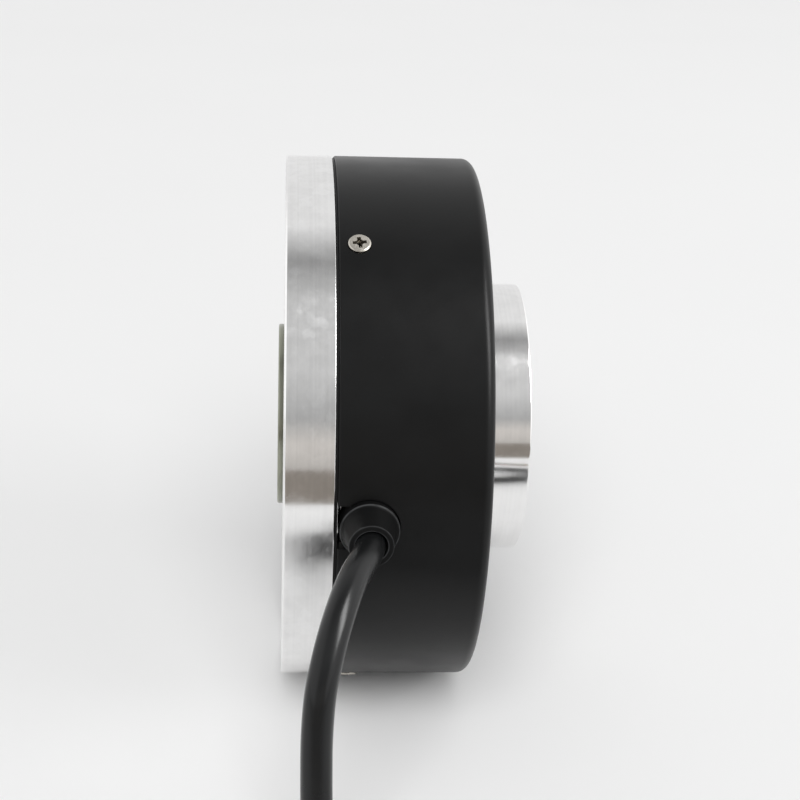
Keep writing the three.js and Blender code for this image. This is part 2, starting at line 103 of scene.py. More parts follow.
COVER_FILLET = 1.8
COVER_WALL = 2.3
COVER_INNER_R = 47.3
COVER_BORE_R = 26.6
GASKET_INNER_R = 47.4
GASKET_R = 49.6
HUB_START = 30.6
HUB_BORE_R = SHAFT_R + 0.3
COVER_SCREW_X = 12.65
COVER_SCREW_ANGLES = (58, 178, -62)
SET_SCREW_X = 40.2
SET_SCREW_ANGLES = (135, 225)
FLANGE_HOLE_ANGLES = (45, 135, 225, 315)
FLANGE_HOLE_R = 37.5
SMOOTH_BELOW = math.radians(35)


# ---------- camera ----------

CAMERA_AWAY = 0.3092
CAMERA_RISE = math.radians(22.5)
CAMERA_ASIDE = -0.62 * MM
TURN_RIGHT = 0.0759
TILT_UP = 0.00914
ROLL = 0.0094
FOCAL_PER_WIDTH = 1.97
SENSOR = 36


def make_camera():
    """Square to the shaft axis, a little above it, turned slightly towards the hub."""
    away = Vector((0, math.cos(CAMERA_RISE), -math.sin(CAMERA_RISE)))
    level = Vector((1, 0, 0))
    upright = level.cross(away)
    right = math.cos(TURN_RIGHT) * level - math.sin(TURN_RIGHT) * away
    ahead = math.sin(TURN_RIGHT) * level + math.cos(TURN_RIGHT) * away
    up = math.cos(TILT_UP) * upright - math.sin(TILT_UP) * ahead
    ahead = math.cos(TILT_UP) * ahead + math.sin(TILT_UP) * upright
    rolled_right = math.cos(ROLL) * right + math.sin(ROLL) * up
    rolled_up = math.cos(ROLL) * up - math.sin(ROLL) * right
    place = Matrix.Identity(4)
    for column, axis in enumerate((rolled_right, rolled_up, -ahead)):
        place.col[column].xyz = axis
    place.translation = AXIS + Vector((FACE_X + CAMERA_ASIDE, 0, 0)) - CAMERA_AWAY * away
    data = bpy.data.cameras.new("camera")
    data.sensor_width = SENSOR
    data.lens = FOCAL_PER_WIDTH * SENSOR
    data.clip_start = 0.01
    camera = bpy.data.objects.new("camera", data)
    bpy.context.scene.collection.objects.link(camera)
    camera.matrix_world = place
    bpy.context.scene.camera = camera


make_camera()


# ---------- node helpers ----------

class Nodes:
    """A short way to write a node tree."""

    def __init__(self, tree):
        self.tree = tree

    def add(self, kind, **settings):
        node = self.tree.nodes.new("ShaderNode" + kind)
        for name, value in settings.items():
            setattr(node, name, value)
        return node

    def link(self, source, target):
        self.tree.links.new(source, target)

    def fill(self, socket, value):
        if isinstance(value, bpy.types.NodeSocket):
            self.link(value, socket)
        else:
            socket.default_value = value

    def math(self, operation, *values):
        node = self.add("Math", operation=operation)
        for socket, value in zip(node.inputs, values):
            self.fill(socket, value)
        return node.outputs[0]

    def reach(self, first, second):
        """The distance from an axis, by two lengths across it."""
        squares = self.math("ADD", self.math("POWER", first, 2.0), self.math("POWER", second, 2.0))
        return self.math("SQRT", squares)

    def position(self):
        return self.add("TexCoord").outputs["Object"]

    def scaled(self, vector, *scales):
        node = self.add("VectorMath", operation="MULTIPLY")
        self.link(vector, node.inputs[0])
        node.inputs[1].default_value = scales
        return node.outputs[0]

    def noise(self, vector, scale, detail=2.0, roughness=0.5):
        node = self.add("TexNoise")
        self.link(vector, node.inputs["Vector"])
        node.inputs["Scale"].default_value = scale
        node.inputs["Detail"].default_value = detail
        node.inputs["Roughness"].default_value = roughness
        return node.outputs[0]

    def cells(self, vector, scale):
        node = self.add("TexVoronoi")
        self.link(vector, node.inputs["Vector"])
        node.inputs["Scale"].default_value = scale
        return node.outputs["Distance"]

    def spread(self, value, low, high, to_low=0.0, to_high=1.0):
        node = self.add("MapRange", interpolation_type="SMOOTHSTEP")
        for socket, number in zip(node.inputs, (value, low, high, to_low, to_high)):
            self.fill(socket, number)
        return node.outputs[0]

    def ramp(self, value, stops):
        node = self.add("ValToRGB")
        self.fill(node.inputs[0], value)
        points = node.color_ramp.elements
        while len(points) < len(stops):
            points.new(1.0)
        for point, (place, color) in zip(points, stops):
            point.position = place
            point.color = (*color, 1)
        return node.outputs[0]

    def mix(self, share, first, second):
        node = self.add("Mix", data_type="RGBA")
        self.fill(node.inputs["Factor"], share)
        self.fill(node.inputs[6], first)
        self.fill(node.inputs[7], second)
        return node.outputs[2]

    def bump(self, height, distance):
        node = self.add("Bump")
        node.inputs["Distance"].default_value = distance
        self.link(height, node.inputs["Height"])
        return node.outputs[0]


def grey(level, warm=0.0):
    """A colour near grey; warm lifts red and drops blue by a share."""
    return (level * (1 + warm), level, level * (1 - warm))


def material(name, color, roughness, metallic=0.0, specular=0.5):
    """A new material with its shader set; returns the material, its nodes and the shader."""
    made = bpy.data.materials.new(name)
    made.use_nodes = True
    made.diffuse_color = (*color, 1)
    nodes = Nodes(made.node_tree)
    shader = made.node_tree.nodes["Principled BSDF"]
    shader.inputs["Base Color"].default_value = (*color, 1)
    shader.inputs["Roughness"].default_value = roughness
    shader.inputs["Metallic"].default_value = metallic
    shader.inputs["Specular IOR Level"].default_value = specular
    return made, nodes, shader


# ---------- materials ----------

def turned_metal(name, color, roughness, stains=0.0, lines=0.05):
    """Metal off a lathe: fine lines round the shaft axis, a faint mottle and dried water marks."""
    made, nodes, shader = material(name, color, roughness, metallic=1.0)
    place = nodes.position()
    split = nodes.add("SeparateXYZ")
    nodes.link(place, split.inputs[0])
    up = nodes.math("SUBTRACT", split.outputs[2], AXIS.z)
    across = nodes.math("ADD", split.outputs[0], nodes.reach(split.outputs[1], up))
    fine = nodes.add("TexNoise", noise_dimensions="1D")
    nodes.link(across, fine.inputs["W"])
    fine.inputs["Scale"].default_value = 1500
    fine.inputs["Detail"].default_value = 3
    mottle = nodes.noise(place, 420, detail=5, roughness=0.65)
    cloud = nodes.noise(place, 110, detail=3, roughness=0.6)
    bright = nodes.math("ADD", nodes.spread(fine.outputs[0], 0.3, 0.7, 1 - lines, 1.0),
                        nodes.spread(mottle, 0.3, 0.7, -lines, lines * 0.4))
    bright = nodes.math("ADD", bright, nodes.spread(cloud, 0.35, 0.65, -lines, lines * 0.4))
    made_of = nodes.mix(bright, (0, 0, 0, 1), (*color, 1))
    shine = nodes.spread(mottle, 0.3, 0.75, roughness * 0.85, roughness * 1.2)
    if stains:
        blot = nodes.spread(nodes.noise(place, 300, detail=2, roughness=0.5), 0.56, 0.6)
        area = nodes.spread(nodes.noise(place, 60, detail=0), 0.44, 0.54)
        mark = nodes.math("MULTIPLY", nodes.math("MULTIPLY", blot, area), stains)
        made_of = nodes.mix(mark, made_of, (0.97, 0.97, 0.97, 1))
        shine = nodes.math("ADD", shine, nodes.math("MULTIPLY", mark, 0.1))
    nodes.link(made_of, shader.inputs["Base Color"])
    nodes.link(shine, shader.inputs["Roughness"])
    nodes.link(nodes.bump(fine.outputs[0], 0.003 * MM), shader.inputs["Normal"])
    shader.inputs["Anisotropic"].default_value = 0.7
    shader.inputs["Anisotropic Rotation"].default_value = 0.25
    tangent = nodes.add("Tangent", direction_type="RADIAL", axis="X")
    nodes.link(tangent.outputs[0], shader.inputs["Tangent"])
    return made


def black_coat():
    """Matt black coating with a fine grain and a little dust."""
    made, nodes, shader = material("black_coat", grey(0.007), 0.4, specular=0.2)
    place = nodes.position()
    grain = nodes.noise(place, 2600, detail=3)
    cloud = nodes.noise(place, 90, detail=3)
    dust = nodes.spread(nodes.cells(place, 210), 0.028, 0.05, 1.0, 0.0)
    rare = nodes.spread(nodes.noise(place, 130, detail=1), 0.62, 0.66)
    speck = nodes.math("MULTIPLY", nodes.math("MULTIPLY", dust, rare), 0.12)
    tint = nodes.mix(cloud, (*grey(0.003, -0.03), 1), (*grey(0.006, -0.03), 1))
    nodes.link(nodes.mix(speck, tint, (*grey(0.5), 1)), shader.inputs["Base Color"])
    nodes.link(nodes.spread(cloud, 0.3, 0.7, 0.31, 0.37), shader.inputs["Roughness"])
    nodes.link(nodes.bump(grain, 0.01 * MM), shader.inputs["Normal"])
    return made


def moulded(name, color, roughness, grain=1500, depth=0.01, specular=0.5):
    """Moulded plastic or rubber: a soft grain, and shine that varies a little."""
    made, nodes, shader = material(name, color, roughness, specular=specular)
    place = nodes.position()
    fine = nodes.noise(place, grain, detail=3)
    cloud = nodes.noise(place, 120, detail=3)
    darker = tuple(c * 0.82 for c in color)
    nodes.link(nodes.mix(cloud, (*darker, 1), (*color, 1)), shader.inputs["Base Color"])
    nodes.link(nodes.spread(cloud, 0.3, 0.7, roughness * 0.88, roughness * 1.12), shader.inputs["Roughness"])
    nodes.link(nodes.bump(fine, depth * MM), shader.inputs["Normal"])
    return made


def boot_rubber():
    """Dull rubber with paler rings painted along its moulded edges: painted highlights that stand in for
    their sheen.
    """
    made, nodes, shader = material("boot_rubber", grey(0.004, -0.03), 0.5, specular=0.12)
    place = nodes.position()
    split = nodes.add("SeparateXYZ")
    nodes.link(place, split.inputs[0])
    across = nodes.math("SUBTRACT", split.outputs[0], EXIT_X)
    up = nodes.math("SUBTRACT", split.outputs[2], AXIS.z)
    radius = nodes.reach(across, up)
    # Painted highlights: each ring along a moulded edge is painted paler to stand in for its sheen, and noise
    # breaks the rings up.
    edges = (
        (BOOT_R - 0.05, BOOT_SHOULDER, 0.16), (BOOT_TIP_R - 0.05, BOOT_TIP - 0.1, 0.13),
        (BOOT_BORE_R + 0.08, BOOT_TIP, 0.1),
    )
    edge_sheen = 0.0
    for edge_r, edge_y, width in edges:
        off_r = nodes.math("SUBTRACT", radius, edge_r * MM)
        off_y = nodes.math("ADD", split.outputs[1], edge_y * MM)
        off = nodes.reach(off_r, off_y)
        edge_sheen = nodes.math("MAXIMUM", nodes.spread(off, 0.0, width * MM * 1.6, 1.0, 0.0), edge_sheen)
    wear_and_sheen = nodes.math("MULTIPLY", edge_sheen, nodes.spread(nodes.noise(place, 500, detail=3), 0.3, 0.6, 0.35, 1.0))
    tint = nodes.mix(wear_and_sheen, (*grey(0.004, -0.03), 1), (*grey(0.05, -0.03), 1))
    nodes.link(tint, shader.inputs["Base Color"])
    nodes.link(nodes.bump(nodes.noise(place, 1500, detail=3), 0.008 * MM), shader.inputs["Normal"])
    return made


def plain_metal(name, color, roughness):
    """Small machined or plated metal parts."""
    made, nodes, shader = material(name, color, roughness, metallic=1.0)
    place = nodes.position()
    streak = nodes.noise(nodes.scaled(place, 6, 1, 1), 900, detail=3)
    wear_and_sheen = nodes.noise(place, 500, detail=4, roughness=0.6)
    darker = tuple(c * 0.8 for c in color)
    nodes.link(nodes.mix(wear_and_sheen, (*darker, 1), (*color, 1)), shader.inputs["Base Color"])
    nodes.link(nodes.spread(streak, 0.3, 0.7, roughness * 0.8, roughness * 1.3), shader.inputs["Roughness"])
    nodes.link(nodes.bump(streak, 0.003 * MM), shader.inputs["Normal"])
    return made


def board_mask():
    """Green solder mask with lighter copper tracks under it and bare pads."""
    made, nodes, shader = material("board_green", (0.01, 0.12, 0.05), 0.35)
    place = nodes.position()
    track = nodes.add("TexBrick", offset=0.5)
    nodes.link(place, track.inputs["Vector"])
    track.inputs["Scale"].default_value = 260
    track.inputs["Color1"].default_value = (0.01, 0.13, 0.055, 1)
    track.inputs["Color2"].default_value = (0.008, 0.09, 0.04, 1)
    track.inputs["Mortar"].default_value = (0.03, 0.2, 0.08, 1)
    nodes.link(track.outputs[0], shader.inputs["Base Color"])
    return made


def disc_glass():
    """Clear glass with a fine radial track of dark lines near the edge."""
    made, nodes, shader = material("disc_glass", (0.82, 0.9, 0.9), 0.05)
    place = nodes.position()
    split = nodes.add("SeparateXYZ")
    nodes.link(place, split.inputs[0])
    up = nodes.math("SUBTRACT", split.outputs[2], AXIS.z)
    turn = nodes.math("ARCTAN2", split.outputs[1], up)
    lines = nodes.math("GREATER_THAN", nodes.math("SINE", nodes.math("MULTIPLY", turn, 500.0)), 0.0)
    radius = nodes.reach(split.outputs[1], up)
    band = nodes.math("MULTIPLY", nodes.math("GREATER_THAN", radius, 33.5 * MM),
                      nodes.math("LESS_THAN", radius, 38 * MM))
    nodes.link(nodes.mix(nodes.math("MULTIPLY", lines, band), (0.82, 0.9, 0.9, 1), (0.05, 0.05, 0.05, 1)),
               shader.inputs["Base Color"])
    shader.inputs["Transmission Weight"].default_value = 0.7
    return made


def felt():
    made, nodes, shader = material("felt", grey(0.1), 0.95, specular=0.1)
    fibre = nodes.noise(nodes.position(), 3000, detail=6, roughness=0.7)
    nodes.link(nodes.mix(fibre, (*grey(0.06), 1), (*grey(0.16), 1)), shader.inputs["Base Color"])
    nodes.link(nodes.bump(fibre, 0.15 * MM), shader.inputs["Normal"])
    return made


LOOKS = {
    "flange_aluminium": turned_metal("flange_aluminium", grey(0.93, 0.004), 0.14, stains=0.3, lines=0.035),
    "hub_aluminium": turned_metal("hub_aluminium", grey(0.93, 0.004), 0.13, lines=0.03),
    "shaft_steel": turned_metal("shaft_steel", (0.36, 0.37, 0.3), 0.34),
    "cover_black": black_coat(),
    "black_oxide": plain_metal("black_oxide", grey(0.05), 0.4),
    "screw_nickel": plain_metal("screw_nickel", (0.62, 0.59, 0.53), 0.3),
    "bearing_steel": plain_metal("bearing_steel", grey(0.62), 0.2),
    "brass": plain_metal("brass", (0.75, 0.56, 0.25), 0.28),
    "black_rubber": moulded("black_rubber", grey(0.006, -0.03), 0.48, specular=0.22),
    "boot_rubber": boot_rubber(),
    "grey_felt": felt(),
    "cable_jacket": moulded("cable_jacket", grey(0.007, -0.06), 0.25, grain=900, depth=0.004, specular=0.35),
    "board_green": board_mask(),
    "black_plastic": moulded("black_plastic", grey(0.015), 0.45),
    "white_nylon": moulded("white_nylon", (0.75, 0.73, 0.68), 0.45),
    "disc_glass": disc_glass(),
    "lamp_clear": moulded("lamp_clear", (0.8, 0.82, 0.84), 0.1),
    "capacitor_can": plain_metal("capacitor_can", grey(0.7), 0.25),
    "lead_red": moulded("lead_red", (0.5, 0.02, 0.02), 0.4),
    "lead_black": moulded("lead_black", grey(0.015), 0.4),
    "lead_green": moulded("lead_green", (0.02, 0.25, 0.06), 0.4),
    "lead_white": moulded("lead_white", (0.75, 0.74, 0.7), 0.4),
    "lead_yellow": moulded("lead_yellow", (0.7, 0.5, 0.02), 0.4),
}
TINNED = plain_metal("tinned_wire", grey(0.7), 0.3)

for part in frame["record"]["subparts"]:
    node = frame["nodes"][part["node"]]
    node.data.materials.clear()
    node.data.materials.append(LOOKS[part["material_slot"]])


# ---------- mesh helpers ----------

SHAFT_FRAME = Matrix.Translation((FACE_X, 0, AXIS.z)) @ Matrix(
    ((0, 0, 1, 0), (0, 1, 0, 0), (-1, 0, 0, 0), (0, 0, 0, 1))
)


def facing_out(x, angle, twist=0.0):
    """Local Z points out of the housing at a bearing angle, at x millimetres from the mounting face."""
    out = Vector((0, -math.cos(math.radians(angle)), math.sin(math.radians(angle))))
    side = out.cross(Vector((1, 0, 0)))
    place = Matrix.Identity(4)
    for column, axis in enumerate((Vector((1, 0, 0)), side, out)):
        place.col[column].xyz = axis
    place.translation = Vector((FACE_X + x * MM, 0, AXIS.z))
    return place @ Matrix.Rotation(twist, 4, "Z")


def along_shaft(angle, radius):
    """Local Z points along +X from the mounting face, at a bearing angle and radius."""
    away = -radius * math.cos(math.radians(angle)) * MM
    up = radius * math.sin(math.radians(angle)) * MM
    return Matrix.Translation((0, away, up)) @ SHAFT_FRAME


def softened(outline, steps=4, hold_flats=False):
    """An outline whose corners (along, radius, rounding) become short curves; two numbers stay sharp."""
    points = []
    for i, corner in enumerate(outline):
        here = Vector(corner[:2])
        if len(corner) < 3 or corner[2] == 0:
            points.append(here)
            continue
        before = Vector(outline[i - 1][:2]) - here
        after = Vector(outline[(i + 1) % len(outline)][:2]) - here
        start = before.normalized() * corner[2]
        end = after.normalized() * corner[2]
        # A short step before and after each curve keeps the flat sides shaded flat.
        if hold_flats and before.length > 4 * corner[2]:
            points.append(here + start * 1.5)
        for k in range(steps + 1):
            t = k / steps
            points.append(here + start * (1 - t) ** 2 + end * t ** 2)
        if hold_flats and after.length > 4 * corner[2]:
            points.append(here + end * 1.5)
    return points


def with_loops(points, step):
    """The same outline with its long sides split, so that cuts in them shade cleanly."""
    split = []
    for i, here in enumerate(points):
        there = points[(i + 1) % len(points)]
        count = max(1, round((there - here).length / step))
        split += [here.lerp(there, k / count) for k in range(count)]
    return split


def from_bmesh(name, bm, look):
    """A linked object from a bmesh, shaded smooth except across sharp edges."""
    bmesh.ops.remove_doubles(bm, verts=bm.verts, dist=1e-7)
    bmesh.ops.recalc_face_normals(bm, faces=bm.faces)
    data = bpy.data.meshes.new(name)
    bm.to_mesh(data)
    bm.free()
    made = bpy.data.objects.new(name, data)
    bpy.context.scene.collection.objects.link(made)
    if look:
        data.materials.append(look)
    data.shade_smooth()
    data.set_sharp_from_angle(angle=SMOOTH_BELOW)
    return made


def turned(name, outline, place, look, sides=192, step=None):
    """A solid of revolution about place's Z. Outline corners are (along, radius[, rounding]) in mm."""
    points = softened(outline, hold_flats=bool(step))
    if step:
        points = with_loops(points, step)
    on_axis = points[0].y == 0
    bm = bmesh.new()
    rings = []
    for point in points:
        ring = []
        for k in range(1 if point.y == 0 else sides):
            turn = 2 * math.pi * k / sides
            local = Vector((point.y * math.cos(turn), point.y * math.sin(turn), point.x)) * MM
            ring.append(bm.verts.new(place @ local))
        rings.append(ring)
    pairs = zip(rings, rings[1:] if on_axis else rings[1:] + rings[:1])
    for low, high in pairs:
        for k in range(sides):
            after = k + 1
            corners = [low[k % len(low)], low[after % len(low)], high[after % len(high)], high[k % len(high)]]
            corners = list(dict.fromkeys(corners))
            if len(corners) > 2:
                bm.faces.new(corners)
    return from_bmesh(name, bm, look)


def prism(name, outline, low, high, place, shrink=1.0):
    """A straight-sided solid: an outline in place's XY, between two heights, all in mm."""
    bm = bmesh.new()
    ends = []
    for height, scale in ((low, shrink), (high, 1.0)):
        ends.append([bm.verts.new(place @ (Vector((x * scale, y * scale, height)) * MM)) for x, y in outline])
    bm.faces.new(ends[0])
    bm.faces.new(ends[1])
    count = len(outline)
    for k in range(count):
        after = (k + 1) % count
        bm.faces.new((ends[0][k], ends[0][after], ends[1][after], ends[1][k]))
    return from_bmesh(name, bm, None)


def oblong(half_x, half_y):
    return [(-half_x, -half_y), (half_x, -half_y), (half_x, half_y), (-half_x, half_y)]


def polygon(radius, corners):
    turns = [2 * math.pi * k / corners for k in range(corners)]
    return [(radius * math.cos(t), radius * math.sin(t)) for t in turns]


def bake_modifiers(piece):
    """Replaces the mesh with its modified form."""
    graph = bpy.context.evaluated_depsgraph_get()
    data = bpy.data.meshes.new_from_object(piece.evaluated_get(graph))
    piece.modifiers.clear()
    piece.data = data


def cut(piece, tools):
    """Takes each tool's shape out of the piece, then drops the tools."""
    for tool in tools:
        step = piece.modifiers.new("cut", "BOOLEAN")
        step.operation = "DIFFERENCE"
        step.solver = "EXACT"
        step.object = tool
    bake_modifiers(piece)
    for tool in tools:
        bpy.data.objects.remove(tool)
    piece.data.shade_smooth()
    piece.data.set_sharp_from_angle(angle=SMOOTH_BELOW)
    return piece


def bevelled(piece, width, angle=30):
    step = piece.modifiers.new("bevel", "BEVEL")
    step.width = width * MM
    step.segments = 2
    step.limit_method = "ANGLE"
    step.angle_limit = math.radians(angle)
    step.harden_normals = False
    bake_modifiers(piece)
    piece.data.shade_smooth()
    piece.data.set_sharp_from_angle(angle=math.radians(50))
    return piece


def stand_for(piece, node):
    """The piece stands in for a CAD node: the node is hidden and the piece joins the node's body."""
    body = next(name for name, members in frame["record"]["behaviour"]["bodies"].items() if node in members)
    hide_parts(node)
    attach(piece, body)
    return piece


# ---------- the lead ----------

# Millimetres in the model's frame, from inside the boot down to where the coil begins.
ROUTE = [
    (-7.5, -37.2, 50), (-7.5, -46, 50), (-7.5, -54.5, 50), (-8.2, -58.8, 49.9), (-10.05, -63.5, 49.4),
    (-11.6, -67.8, 48.2), (-13, -71.6, 46.1), (-14.25, -74.8, 43.3), (-15.25, -77.3, 40),
    (-16, -79, 36.4), (-16.35, -80.1, 32.6), (-16.5, -81.1, 28.7), (-16.5, -82.2, 24.8),
    (-16.45, -83.3, 21), (-16.35, -84.6, 17.1), (-16.3, -86.5, 13.3), (-16.3, -89.2, 9.9),
    (-16.3, -92.6, 6.9), (-16.3, -96.5, 4.6), (-16.3, -100.8, 3.1), (-16.3, -105.6, 2.55),
    (-16.3, -111, 2.5), (-16.3, -116.5, 2.5),
]
COIL_CENTRE = (16.4, -122)
# Turns so far, radius and height of the cord's centre: three turns inwards on the surface, two outwards
# on top of them, and the tail on top of those.
WINDING = [
    (0, 32.7, 2.5), (5 / 6, 32.7, 2.5), (1, 27.6, 2.5), (11 / 6, 27.6, 2.5), (2, 22.5, 2.5),
    (16 / 6, 22.5, 2.5), (17 / 6, 24.4, 7.6), (3, 25.05, 7.6), (37 / 12, 25.05, 6.95),
    (22 / 6, 25.05, 6.95), (22.5 / 6, 27.6, 7.65), (23 / 6, 30.15, 7.2), (23.5 / 6, 30.15, 7.65),
    (4, 30.15, 6.95), (4.5, 30.15, 6.95), (28 / 6, 27.6, 11.7), (28.5 / 6, 27.6, 12.75),
    (29 / 6, 27.6, 12.2), (5, 27.6, 11.4), (5.6, 27.6, 11.4),
]
TAIL_TURNS = 5.28
TIE_TURNS = 5.15
TIE_LIFT = 1.0


def wound(turns):
    """The cord's centre on the coil, in mm, a number of turns from where it joins the coil."""
    for (t0, r0, z0), (t1, r1, z1) in zip(WINDING, WINDING[1:]):
        if turns <= t1:
            share = (turns - t0) / (t1 - t0)
            share = share * share * (3 - 2 * share)
            break
    radius = r0 + (r1 - r0) * share
    height = z0 + (z1 - z0) * share
    angle = math.pi + 2 * math.pi * turns
    off_tie = abs((turns - TIE_TURNS + 0.5) % 1 - 0.5)
    height += TIE_LIFT * math.exp(-((off_tie / 0.06) ** 2))
    x = COIL_CENTRE[0] + radius * math.cos(angle)
    y = COIL_CENTRE[1] + radius * math.sin(angle)
    return Vector((x, y, height))


def smooth_through(points, per_span):
    """Points along a smooth curve through the given ones."""
    line = []
    for i in range(len(points) - 1):
        before = points[max(i - 1, 0)]
        a, b = points[i], points[i + 1]
        after = points[min(i + 2, len(points) - 1)]
        for k in range(per_span):
            t = k / per_span
            line.append(
                0.5 * (2 * a + (b - before) * t + (2 * before - 5 * a + 4 * b - after) * t ** 2
                       + (3 * a - before - 3 * b + after) * t ** 3)
            )
    return line + [points[-1]]


def cable_line():
    """The whole cord's centre line in metres: the route, then the coil's turns."""
    per_turn = 36
    turns = [k / per_turn for k in range(int(TAIL_TURNS * per_turn))] + [TAIL_TURNS]
    points = [Vector(p) for p in ROUTE] + [wound(t) for t in turns]
    return [p * MM for p in smooth_through(points, 4)]


def curve_of(name, points, radius, look):
    data = bpy.data.curves.new(name, "CURVE")
    data.dimensions = "3D"
    data.bevel_depth = radius
    data.bevel_resolution = 7
    data.use_fill_caps = True
    spline = data.splines.new("POLY")
    spline.points.add(len(points) - 1)
    for point, place in zip(spline.points, points):
        point.co = (*place, 1)
    spline.use_smooth = True
    data.materials.append(look)
    made = bpy.data.objects.new(name, data)
    bpy.context.scene.collection.objects.link(made)
    return made


def cord_length(points):
    return sum((b - a).length for a, b in zip(points, points[1:]))


def tube_mesh(name, points, radii, looks, sides):
    """A round tube along points, with a radius and a look at each of them."""
    bm = bmesh.new()
    rings = []
    normal = Vector((0, 0, 1))
    for i, point in enumerate(points):
        ahead = (points[min(i + 1, len(points) - 1)] - points[max(i - 1, 0)]).normalized()
        normal = (normal - normal.dot(ahead) * ahead).normalized()
        side = ahead.cross(normal)
        rings.append([
            bm.verts.new(point + radii[i] * (normal * math.cos(2 * math.pi * k / sides)
                                             + side * math.sin(2 * math.pi * k / sides)))
            for k in range(sides)
        ])
    for i, (low, high) in enumerate(zip(rings, rings[1:])):
        for k in range(sides):
            face = bm.faces.new((low[k], low[(k + 1) % sides], high[(k + 1) % sides], high[k]))
            face.material_index = looks[i]
    bm.faces.new(rings[0]).material_index = looks[0]
    bm.faces.new(rings[-1]).material_index = looks[-1]
    return from_bmesh(name, bm, None)


def end_sleeve():
    """Shrunk sleeve over the jacket's end, a little waisted where it grips the leads."""
    turns = [TAIL_TURNS - 0.012 + 0.075 * k / 14 for k in range(15)]
    points = [wound(t) * MM for t in turns]
    radii = [2.78 * MM] * 9 + [2.7 * MM, 2.5 * MM, 2.25 * MM, 2.1 * MM, 2.0 * MM, 1.9 * MM]
    sleeve = tube_mesh("shrink_sleeve", points, radii, [0] * 15, sides=32)
    sleeve.data.materials.append(LOOKS["black_rubber"])
    return stand_for(sleeve, "end_sleeve")


def lead_end(colour, place):
    """One lead: insulation, then a stripped and tinned tip."""
    fan = place - 2
    start = TAIL_TURNS + 0.05
    reach = 0.15 - abs(fan) * 0.006
    points, radii, looks = [], [], []
    count = 26
    for k in range(count):
        share = k / (count - 1)
        centre = wound(start + reach * share)
        outwards = Vector((centre.x - COIL_CENTRE[0], centre.y - COIL_CENTRE[1], 0)).normalized()
        spread = fan * (0.62 + 2.0 * share ** 1.4)
        lift = (0.45 if place % 2 else -0.45) * (1 - share) - 0.25 * share
        points.append((centre + outwards * spread + Vector((0, 0, lift))) * MM)
        bare = share > 0.8
        radii.append((0.36 if bare else 0.62) * MM)
        looks.append(1 if bare else 0)
    lead = tube_mesh(f"wire_{colour}", points, radii, looks, sides=14)
    lead.data.materials.append(LOOKS[f"lead_{colour}"])
    lead.data.materials.append(TINNED)
    return stand_for(lead, f"lead_{colour}")


def coil_tie():
    """A nylon strap round the turns: a band in the coil's radial plane, with its locking head outside."""
    angle = math.pi + 2 * math.pi * TIE_TURNS
    place = Matrix.Translation((COIL_CENTRE[0] * MM, COIL_CENTRE[1] * MM, 0)) @ Matrix.Rotation(angle, 4, "Z")
    place = place @ Matrix.Rotation(math.radians(90), 4, "X")
    inner = [(19.9, 0.95, 1.6), (35.3, 0.95, 1.6), (35.3, 5.2, 1.2), (32.9, 10.4, 1.6), (30.2, 14.9, 1.8),
             (25.0, 14.9, 1.8), (22.2, 10.4, 1.6), (19.9, 5.2, 1.2)]
    outer = [(19.1, 0.15, 2.2), (36.1, 0.15, 2.2), (36.1, 5.4, 1.6), (33.6, 10.8, 2.0), (30.8, 15.7, 2.4),
             (24.4, 15.7, 2.4), (21.5, 10.8, 2.0), (19.1, 5.4, 1.6)]
    half = 1.3
    bm = bmesh.new()
    loops = []
    for outline, side in ((inner, -half), (inner, half), (outer, half), (outer, -half)):
        loops.append([bm.verts.new(place @ (Vector((p.x, p.y, side)) * MM)) for p in softened(outline, 5)])
    for low, high in zip(loops, loops[1:] + loops[:1]):
        count = len(low)
        for k in range(count):
            bm.faces.new((low[k], low[(k + 1) % count], high[(k + 1) % count], high[k]))
    head = place @ Matrix.Translation((37.6 * MM, 3.2 * MM, 0))
    bmesh.ops.create_cube(bm, size=1, matrix=head @ Matrix.Diagonal((3.4 * MM, 3.6 * MM, 4.4 * MM, 1)))
    tail = place @ Matrix.Translation((38.1 * MM, 6.2 * MM, 0))
    bmesh.ops.create_cube(bm, size=1, matrix=tail @ Matrix.Diagonal((0.9 * MM, 4.0 * MM, 2.4 * MM, 1)))
    tie = bevelled(from_bmesh("nylon_tie", bm, LOOKS["black_plastic"]), 0.18)
    return stand_for(tie, "coil_tie")


def lead():
    line = cable_line()
    cord = curve_of("signal_lead", line, CABLE_R, LOOKS["cable_jacket"])
    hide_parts("cable", "cable_coil", "cable_tail")
    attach(cord, "stator")
    cord.visible_glossy = False
    pieces = [end_sleeve(), coil_tie()]
    colours = ("red", "black", "green", "white", "yellow")
    pieces += [lead_end(colour, i) for i, colour in enumerate(colours)]
    print("cord length", round(cord_length(line), 4))


lead()


# ---------- housing ----------

